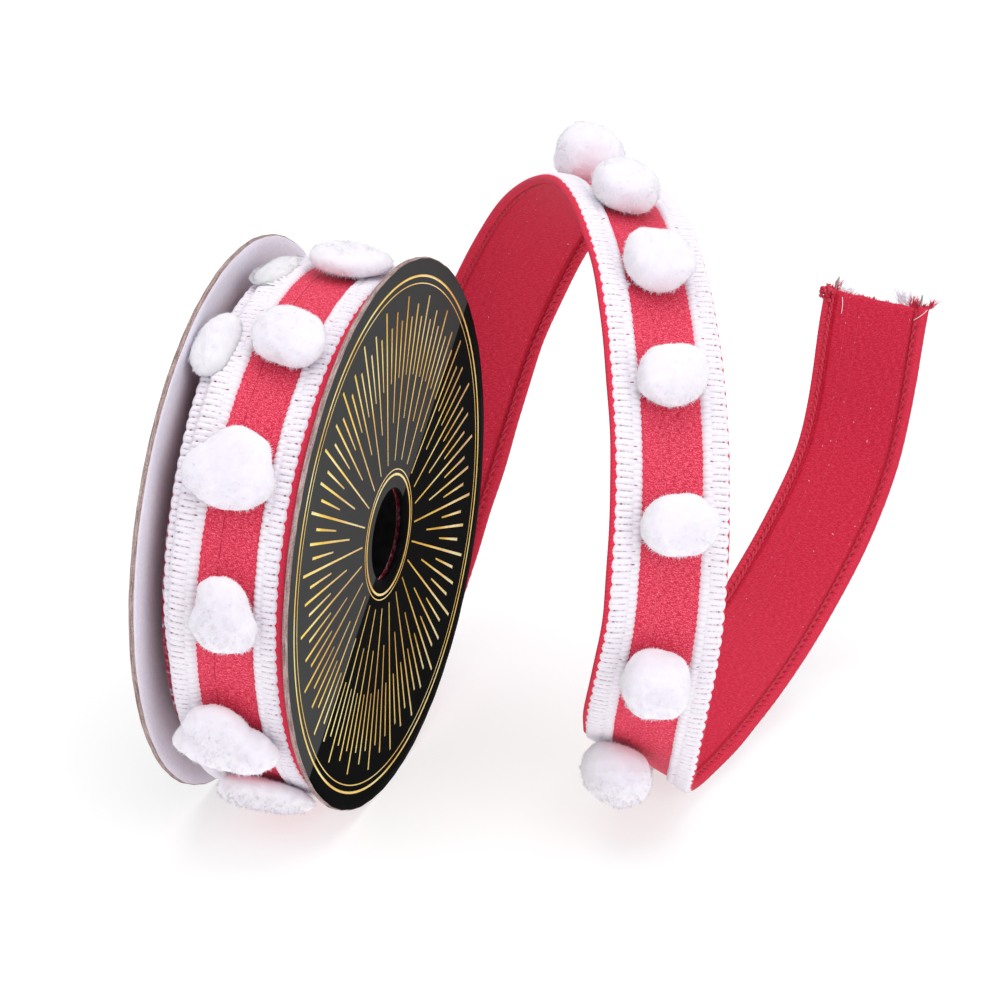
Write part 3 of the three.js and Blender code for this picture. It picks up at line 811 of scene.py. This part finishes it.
def hem(name, side, middle, half_width, half_thick, pitch, ridge, thread):
    """Edge rolled inward over the wire and oversewn, as a thick tube with slanting thread ridges."""
    run = np.arange(run_at_turn(1.02), TAIL_END, 0.3)[:, None]
    ring = 8
    turn = 2 * np.pi * np.arange(ring) / ring
    rng = np.random.default_rng(21 + side)
    wraps = rng.normal(0, 0.25, 2000)[(run / pitch).astype(int)]
    swell = ridge * (arch(run / pitch + side * turn / (2 * np.pi)) - 0.6) + 0.12 * ridge * wraps
    swell = swell + 0.25 * smooth_step(TAIL_END - 4, TAIL_END - 1, run)
    slow = 0.05 * np.sin(run / 3.1 + side) + 0.05 * np.sin(run / 7.7)
    across = side * (middle + half_width * (1 + 0.3 * swell + slow) * np.cos(turn))
    loose = smooth_step(0, 30, run)
    out = half_thick * (1 + swell) * (0.7 + 0.3 * loose) * np.sin(turn) - 0.3 * loose
    uv = np.stack(np.broadcast_arrays(run, 3 * turn), -1)
    points = on_ribbon(run, drawn_in(run, across), out)
    return add_piece(name, points, tube_faces(1, len(run), ring), [thread], uv=uv)


def chain_stitch(name, side, middle, pitch, lean):
    """Chain along a hem on the inner face, with a thread over the hem from each loop."""
    run = np.arange(8, TAIL_END - 1, pitch / 6)
    lines = []
    for phase in (0, np.pi):
        swing = np.pi * run / pitch + phase
        across = middle + 0.12 * np.sin(run / 13) + 0.26 * np.sin(swing)
        lines.append(on_ribbon(run, side * across, -0.68 - 0.16 * np.cos(swing)))
    add_strands(name, lines, 0.29, 5, STITCH)
    start = np.arange(9, TAIL_END - 3, pitch)[:, None]
    share = np.linspace(0, 1, 5)
    slope = np.random.default_rng(5 + side).normal(lean, 0.35, start.shape)
    across = middle + (RIBBON_WIDTH / 2 - middle - 0.5) * share
    out = -1.1 - 0.12 * np.sin(np.pi * share) + 0.6 * share**4
    lines = on_ribbon(start + slope * share, side * across, out)
    add_strands(f"{name}_threads", lines, 0.09, 4, STITCH)


def seam(name, face, across, start, stop, thread, ends):
    """Line of straight stitches that pull into the cloth at each end, and the marks of the needle; dark
    marks are painted shade in the needle holes.
    """
    begin = np.arange(start, stop - SEAM_PITCH, SEAM_PITCH)[:, None]
    share = np.linspace(0, 1, 7)
    drift = 0.35 * np.sin(begin / 31) + 0.2 * np.sin(begin / 12)
    out = face * (SHEET_HALF - 0.1 + 0.11 * np.sqrt(np.sin(np.pi * share)))
    lines = on_ribbon(begin + 0.94 * SEAM_PITCH * share, across + drift, out)
    add_strands(name, lines, 0.08, 4, thread)
    hole = begin + 0.97 * SEAM_PITCH + np.array([-0.18, 0, 0.18])
    marks = on_ribbon(hole, across + drift, face * (SHEET_HALF - 0.06))
    clear = np.random.default_rng(70 + int(10 * across)).uniform(0, 1, len(marks)) < 0.6
    return add_strands(f"{name}_marks", marks[clear], 0.11, 5, ends)


def braid_edges(side, run):
    """Inner and outer edge of a braid from the ribbon's middle, at the valleys of its teeth and scallops,
    and the depth of its scallops."""
    wound = wound_share(run)
    inner, outer, depth = (end + (start - end) * wound for start, end in zip(*BRAID_EDGES[side]))
    wander = BRAID_WANDER * (1 - smooth_step(-160, -105, run)) * (side == LEFT)
    return inner - wander, outer - wander, depth


def braid(name, side, start, replaced):
    """White braid of wrapped yarn: round scallops outside and fine teeth inside."""
    run = np.arange(start, TAIL_END, 0.21)[:, None]
    share = np.linspace(0, 1, 13)  # from the outer edge to the inner one
    rng = np.random.default_rng(40 + side)
    slant = (0.35 * np.sin(run / 19 + side) + 0.25 * np.sin(run / 7 + 2)) * (share - 0.5)
    place = run + slant
    loose = rng.uniform(0, 1, 4000)[np.floor(place / RIDGE_PITCH).astype(int)]
    ridges = arch(place / RIDGE_PITCH)
    scallops = arch(place / SCALLOP_PITCH)
    teeth = arch(place / RIDGE_PITCH + 0.5)
    bank = smooth_step(0.6, 0.7, share)
    inner, outer, depth = braid_edges(side, run)
    outer = outer + depth * scallops[:, :1] ** 0.7 + 0.12 * (loose[:, :1] - 0.5)
    inner = inner - 0.28 * teeth[:, -1:] ** 0.7 - 0.12 * (loose[:, -1:] - 0.5)
    across = side * (outer + share * (inner - outer))
    wraps = 0.6 * ridges**0.5 + 0.22 * scallops**0.45
    weave = (1 - bank) * wraps + bank * (0.34 + 0.42 * teeth**0.6)
    groove = bell(share - 0.65, 0.05)
    pits = bell(scallops, 0.2) * bell(share - 0.19, 0.08)
    crown = 1 - np.abs(2 * share - 1) ** 5
    relief = 0.32 + 0.6 * weave - 0.16 * groove - 0.3 * pits + 0.1 * (loose - 0.5)
    top = SHEET_HALF + np.maximum(BRAID_HEIGHT * crown**0.5 * relief, 0.04)
    under = np.full((len(run), 2), SHEET_HALF - 0.05)
    ends = [*range(len(share)), -1, 0]
    uv = np.stack(np.broadcast_arrays(place, share), -1)[:, ends]
    lift = LOWER_TURN_LIFT * smooth_step(run_at_turn(0.95), run_at_turn(1.1), run)
    points = on_ribbon(run, across[:, ends], np.concatenate([top, under], 1) + lift)
    return add_piece(name, points, tube_faces(1, len(run), len(ends)), [BRAID], [replaced], uv)


def wire_ends():
    """Cut wires that stand out of the two hems, each a little bent."""
    line, width, normal = frame_at(TAIL_END)
    tangent = np.cross(width, normal)
    share = np.linspace(0, 1, 7)[:, None]
    radius = WIRE_RADIUS * np.array([1, 1, 1, 1, 1, 0.97, 0.8])
    for name, side, bend in (("left", LEFT, 0.25), ("right", RIGHT, -0.15)):
        foot = line + side * (RIBBON_WIDTH / 2 - WIRE_INSET) * width
        shape = foot + tangent * (WIRE_STUB * 1.6 * share - 0.6 * WIRE_STUB) + width * bend * share**2
        add_strands(f"wire_{name}", shape[None], radius, 10, STEEL, [f"wire_end_{name}"])


def frays(name, material, slot, across, length, tilt, radius, seed, out=0.0):
    """Loose threads at the cut end: each starts at a place across and leans and curls as it goes."""
    rng = np.random.default_rng(seed)
    count = len(across)
    line, width, normal = frame_at(TAIL_END)
    tangent = np.cross(width, normal)
    share = np.linspace(0, 1, 6)[:, None]
    length, tilt = length[:, None, None], tilt[:, None, None]
    lean = (tilt + rng.normal(0, 0.3, (count, 1, 1))) * share
    lean = lean + rng.normal(0, 0.35, (count, 1, 1)) * share**2
    rise = rng.normal(0, 0.3, (count, 1, 1)) * share**2 * length
    start = line + width * across[:, None] + normal * (out + waviness(TAIL_END, across))[:, None]
    root = cut_line(across)[:, None, None] + 0.5
    lines = start[:, None] + tangent * ((length + 0.5) * share - root)
    lines = lines + width * lean * length + normal * rise
    thin = radius * np.array([1, 1, 0.9, 0.8, 0.6, 0.25])
    add_strands(name, lines, thin, 4, material)


def fray_rows(rng, rows):
    """Places across, lengths and tilts of threads in tufts of a middle, spread, count, lengths and lean."""
    parts = []
    for middle, spread, count, short, long, lean in rows:
        across = rng.normal(middle, spread, count)
        parts.append((across, rng.uniform(short, long, count), np.full(count, lean)))
    return [np.concatenate(part) for part in zip(*parts)]


def cut_end():
    """Frayed cut: short red threads all along, tufts at the hems and white wisps of the two braids."""
    rng = np.random.default_rng(8)
    count, knot_count = 90, 9
    even = [rng.uniform(-10, 10, count), rng.uniform(0.1, 0.5, count), np.zeros(count)]
    red = [np.concatenate(pair) for pair in zip(even, fray_rows(rng, RED_TUFTS))]
    frays("frays_red", STITCH, "ribbon", *red, 0.08, 31)
    frays("frays_white", FLUFF_LIGHTENED, "braid", *fray_rows(rng, WHITE_WISPS), 0.09, 32, 0.7)
    share = np.linspace(0, 1, 7)
    turn = rng.uniform(0, 2 * np.pi, (knot_count, 1)) + 4 * share
    place = rng.uniform([-12.3, -2.2], [-10.0, 0.4], (knot_count, 2))
    across = place[:, :1] + 0.55 * np.cos(turn)
    knots = on_ribbon(TAIL_END - 1.0, across, -1.3 + 0.4 * np.sin(turn))
    line, width, normal = frame_at(TAIL_END)
    knots = knots + np.cross(width, normal) * (place[:, 1:] + 0.7 * share - 0.2)[..., None]
    radius = 0.5 * np.sin(np.pi * (0.12 + 0.76 * share))
    add_strands("knots", knots, radius, 7, STITCH)


def lint():
    """Light specks, short fibres and two loose threads caught on the inner face."""
    rng = np.random.default_rng(12)
    count = 30
    begin = rng.uniform(90, TAIL_END - 4, (count, 1))
    across = rng.uniform(-9, 8.5, (count, 1))
    long = np.where(rng.uniform(0, 1, (count, 1)) < 0.08, rng.uniform(0.5, 1.2, (count, 1)), 0.2)
    share = np.linspace(0, 1, 5)
    curl = rng.normal(0, 0.5, (count, 1)) * long * share**2
    lean = rng.normal(0, 1, (count, 1)) * long * share
    lines = on_ribbon(begin + long * share, across + lean + curl, -SHEET_HALF - 0.05)
    add_strands("lint", lines, 0.06, 4, FLUFF_LIGHTENED)
    threads = [(5.2, 1.8, -7.7, -8.1, 0.2, -0.5), (3.3, 0.6, 9.8, 12.4, 0.25, -1.4)]
    lines = []
    for back, end, left, right, bow, out in threads:
        run = TAIL_END - back + (back - end) * share
        across = left + (right - left) * share + bow * np.sin(np.pi * share)
        lines.append(on_ribbon(run, across, out))
    add_strands("loose_threads", lines, 0.085, 6, FLUFF_LIGHTENED)


# Pompoms
def unit_ball():
    ball = bmesh.new()
    bmesh.ops.create_icosphere(ball, subdivisions=5, radius=1)
    points = np.array([vertex.co for vertex in ball.verts])
    faces = np.array([[vertex.index for vertex in face.verts] for face in ball.faces])
    ball.free()
    return points, faces


BALL_POINTS, BALL_FACES = unit_ball()
BALL_SQUARE = 2.4  # power of a pompom's rounding, 2 for a plain ellipsoid
LOBE_BLEND = 5


def reach_of(half, lobes):
    """Distance from the middle to the outside of a body and its lobes, by point of the unit ball."""
    total = np.sum(np.abs(BALL_POINTS / half) ** BALL_SQUARE, 1) ** (-LOBE_BLEND / BALL_SQUARE)
    for middle, lobe in lobes:
        ray = BALL_POINTS / lobe
        offset = np.asarray(middle) / lobe
        square = np.sum(ray * ray, 1)
        toward = ray @ offset
        root = toward**2 - square * (offset @ offset - 1)
        far = np.where(root > 0, (toward + np.sqrt(np.maximum(root, 0))) / square, 0)
        total += np.maximum(far, 0) ** LOBE_BLEND
    return total ** (1 / LOBE_BLEND)


def ripples(points, rng, count, length):
    """Smooth uneven waves of about the given length, mostly between -1 and 1."""
    aims = unit(rng.normal(0, 1, (count, 3))) * (2 * np.pi / length)
    return np.sin(points @ aims.T + rng.uniform(0, 2 * np.pi, count)).sum(1) / math.sqrt(count)


def fuzz(points, faces, rng, count, length, clump):
    """Fine tapered fibres that stand on a surface and lean together in small tufts, and their normals."""
    corners = points[faces]
    cross = np.cross(corners[:, 1] - corners[:, 0], corners[:, 2] - corners[:, 0])
    area = np.linalg.norm(cross, axis=1)
    chosen = rng.choice(len(faces), count, p=area / area.sum())
    weights = rng.dirichlet((1, 1, 1), count)
    foot = np.einsum("ij,ijk->ik", weights, corners[chosen])
    normal = cross[chosen] / np.maximum(area[chosen], 1e-9)[:, None]
    reach = length * (0.35 + 0.9 * rng.uniform(0, 1, (count, 1)) ** 2)
    reach = np.where(rng.uniform(0, 1, (count, 1)) < 0.03, 1.9 * reach, reach)
    tip = foot + reach * unit(normal + rng.normal(0, 0.45, (count, 3)))
    leaders = rng.choice(count, count // 18, replace=False)
    gaps = np.linalg.norm(foot[:, None] - foot[leaders][None], axis=2)
    tuft = foot[leaders] + 1.1 * length * unit(normal[leaders] + rng.normal(0, 0.3, (len(leaders), 3)))
    tip = tip + clump * (tuft[gaps.argmin(1)] - tip)
    rise = np.sum((tip - foot) * normal, 1, keepdims=True)
    tip = tip + np.maximum(0.3 * length - rise, 0) * normal
    side = unit(np.cross(normal, rng.normal(0, 1, (count, 3))))
    other = np.cross(normal, side)
    root = foot - 0.12 * normal
    thick = rng.uniform(0.06, 0.1, (count, 1))
    ring = [root + thick * (math.cos(a) * side + math.sin(a) * other) for a in np.radians([0, 120, 240])]
    return np.stack([*ring, tip], 1).reshape(-1, 3), np.repeat(normal, 4, 0)


def tie_wisp(half, low, rng):
    """Fluffy end of the yarn that ties a pompom down, lying from under it towards the left braid."""
    count = 26
    root = half * [-0.72, 0.42, 0] + rng.normal(0, [0.3, 0.5, 0], (count, 3))
    root[:, 2] = low + rng.uniform(0.1, 1.3, count)
    aim = unit(rng.normal([-1, 0.05, -0.05], [0, 0.22, 0.1], (count, 3)))
    tip = root + aim * rng.uniform(1.0, 2.6, (count, 1))
    side = np.array([0, 0.07, 0])
    ring = [root + side, root - side, root + [0, 0, 0.07]]
    return np.stack([*ring, tip], 1).reshape(-1, 3), np.tile([0.0, 0, 1], (4 * count, 1))


def pompom(name, node, run, half, seed, across=0.0, base=POMPOM_BASE, lumps=None, ragged=0.0):
    """Cotton pompom tied down between the braids: blended lumps, and the fine fibres that coat it."""
    rng = np.random.default_rng(seed)
    outer = np.asarray(half, float)
    half = np.maximum(outer - 0.4 * FIBRE, 0.6 * outer)
    if lumps:
        body = half * [0.6, 0.6, 0.8]
        lobes = [(half * [x, y, 0], half * [wide, long, 0.85 + 0.1 * wide]) for x, y, wide, long in lumps]
    else:
        body = half * 0.9
        ways = unit(rng.normal(0, 1, (4, 3)) * [1, 1, 0.7])
        lobes = [(way * half * rng.uniform(0.28, 0.4), half * rng.uniform(0.54, 0.66)) for way in ways]
    ball = BALL_POINTS * reach_of(body, lobes)[:, None]
    swell = 1 + (0.024 + 0.016 * ragged) * ripples(ball, rng, 12, 7.0)
    swell = swell + (0.01 + 0.012 * ragged) * ripples(ball, rng, 24, 2.6)
    ball = ball * swell[:, None]
    low = -POMPOM_SEAT * outer[2] - base + SHEET_HALF
    ball[:, 2] = np.maximum(ball[:, 2], low)
    fibres, aims = fuzz(ball, BALL_FACES, rng, FIBRES, FIBRE + 0.25 * ragged, 0.25 + 0.3 * ragged)
    if run > 0:
        wisp, wisp_aims = tie_wisp(outer, low, rng)
        fibres, aims = np.vstack([fibres, wisp]), np.vstack([aims, wisp_aims])
    fibres[:, 2] = np.maximum(fibres[:, 2], low)
    line, width, normal = frame_at(run)
    axes = np.stack([width, np.cross(width, normal), normal])
    pressed = TOP_PRESS * smooth_step(0, 0.7, (aims[3::4] @ axes)[:, 2:])
    fibres[3::4] += pressed * (fibres[::4] - fibres[3::4])
    middle = line + (TRIM_SHIFT + across) * width + (base + POMPOM_SEAT * outer[2]) * normal
    lowest = [BACK_FACE + FLANGE_THICK + 0.1 if run < 0 else -np.inf, -np.inf, 0.02]
    add_piece(name, np.maximum(middle + ball @ axes, lowest), [BALL_FACES], [COTTON], [node])
    upward = 0.6 * normal + [0, 0, 0.8]
    return np.maximum(middle + fibres @ axes, lowest), unit(0.6 * aims @ axes + upward)


def fluff(name, coats):
    """The fibres of several pompoms as one piece, shaded softly because light passes through them."""
    points, aims = (np.vstack(part) for part in zip(*coats))
    spike = np.array([[0, 2, 1], [0, 1, 3], [1, 2, 3], [2, 0, 3]])
    faces = (4 * np.arange(len(points) // 4)[:, None, None] + spike).reshape(-1, 3)
    piece = add_piece(name, points, [faces], [FLUFF_LIGHTENED])
    piece.data.normals_split_custom_set_from_vertices(aims.tolist())
    piece.visible_shadow = False


def pompoms():
    coats = []
    for k, (on, across, *half) in enumerate(TAIL_POMPOMS):
        place = FIRST_TAIL_POMPOM + k * POMPOM_PITCH + on
        names = f"pompom_tail_{k + 1:02}", f"tail_pompom_{k + 1:02}"
        coats.append(pompom(*names, place, half, 100 + k, across))
    fluff("fluff_tail", coats)
    coats = []
    for k, (on, across, *half) in enumerate(ROLL_POMPOMS):
        turns = (k * POMPOM_PITCH - on) / (ROLL_RADIUS - TURN_PITCH / 2) / (2 * np.pi)
        place = run_at_turn(1 / 360 + turns)
        names = f"pompom_roll_{k + 1:02}", f"roll_pompom_{k + 1:02}"
        coats.append(pompom(*names, place, half, 140 + k, across, lumps=ROLL_LUMPS.get(k), ragged=0.2))
    for k, (angle, across, wide, long, out, base) in enumerate(TUFTS):
        place = run_at_turn((LEAVE_ANGLE - angle) % 360 / 360)
        names = f"tuft_{k + 1:02}", f"lower_tuft_{k + 1:02}"
        coats.append(pompom(*names, place, (wide, long, out), 180 + k, across, base, TUFT_LUMPS, 0.2))
    fluff("fluff_roll", coats)


flange("card_front", "flange_front", FRONT_FACE, 1)
flange("card_back", "flange_back", BACK_FACE, -1)
foil_print()
roll_body()
sheet = ribbon_sheet()
trim = [
    hem("hem_left", LEFT, 11.6, 0.95, 0.9, pitch=1.0, ridge=0.1, thread=HEM_ROPE),
    hem("hem_right", RIGHT, 11.0, 1.2, 0.85, pitch=1.9, ridge=0.1, thread=HEM_BAND),
    braid("braid_left", LEFT, run_at_turn(1.9), "tail_braid_left"),
    braid("braid_right", RIGHT, run_at_turn(1.02), "tail_braid_right"),
    seam("seam_roll", OUTER, SEAM_ACROSS, run_at_turn(1), 10, SEAM_PAINTED_SHADE, NEEDLE_SHADE),
    seam("seam_tail", OUTER, SEAM_ACROSS, 10, TAIL_END, SEAM_PAINTED_LIGHT, NEEDLE_SHADE),
]
for k, seam_across in enumerate(INNER_SEAMS):
    trim.append(seam(f"seam_inner_{k + 1}", INNER, seam_across, 20 + 1.7 * k, TAIL_END, SEAM_IN, SPECK))
chain_stitch("chain_left", LEFT, CHAIN_LEFT, pitch=1.5, lean=0.3)
chain_stitch("chain_right", RIGHT, CHAIN_RIGHT, pitch=1.9, lean=0.8)
wire_ends()
cut_end()
lint()
pompoms()


# Stage
def floor(name, material, height):
    reach = 6
    corners = [(-reach, -reach), (reach, -reach), (reach, reach), (-reach, reach)]
    mesh = bpy.data.meshes.new(name)
    mesh.from_pydata([(x, y, height) for x, y in corners], [], [(0, 1, 2, 3)])
    mesh.materials.append(material)
    obj = new_object(name, mesh)
    return obj


def floors():
    """The white floor that shows, and a plainer one just under it that throws light back up."""
    shown = floor("floor", pale_floor("pale_floor", 0.5, 0.52, 0.58), 0)
    shown.visible_diffuse = False
    shown.visible_glossy = False
    shown.visible_shadow = False
    bounce = floor("floor_bounce", pale_floor("floor_bounce", 0.78, 0.8, 0.33), -0.5 * MM)
    bounce.visible_camera = False


def area_light(name, place, aim, size, power):
    light = bpy.data.lights.new(name, "AREA")
    light.shape = "DISK"
    light.size = size
    light.energy = power
    obj = new_object(name, light)
    obj.location = place
    way = np.array(aim) - np.array(place)
    flat = math.hypot(way[0], way[1])
    obj.rotation_euler = (math.atan2(flat, -way[2]), 0, math.atan2(-way[0], way[1]))


def studio():
    """Soft white light from all round, and three large soft lamps."""
    world = bpy.data.worlds.new("studio")
    world.use_nodes = True
    backdrop = world.node_tree.nodes["Background"]
    backdrop.inputs["Color"].default_value = (0.97, 0.97, 1.0, 1)
    backdrop.inputs["Strength"].default_value = 0.55
    bpy.context.scene.world = world
    middle = (0.02, 0.03, 0.05)
    area_light("top", (0.15, 0.05, 1.9), middle, 2.2, 22)
    area_light("left", (-0.9, -1.3, 0.9), middle, 1.3, 3.2)
    area_light("right", (1.3, -1.0, 0.9), middle, 1.3, 8.2)
    bpy.context.scene.view_settings.view_transform = "Standard"


def camera():
    """The photograph's view through a long lens, from above and a little to the right."""
    data = bpy.data.cameras.new("camera")
    data.lens = 290.7
    data.sensor_width = 36
    data.clip_end = 20
    obj = new_object("camera", data)
    obj.location = (0.52274, -1.378, 0.7866)
    obj.rotation_euler = (math.radians(90 - 26.106), 0, math.radians(19.864))
    bpy.context.scene.camera = obj


floors()
studio()
camera()
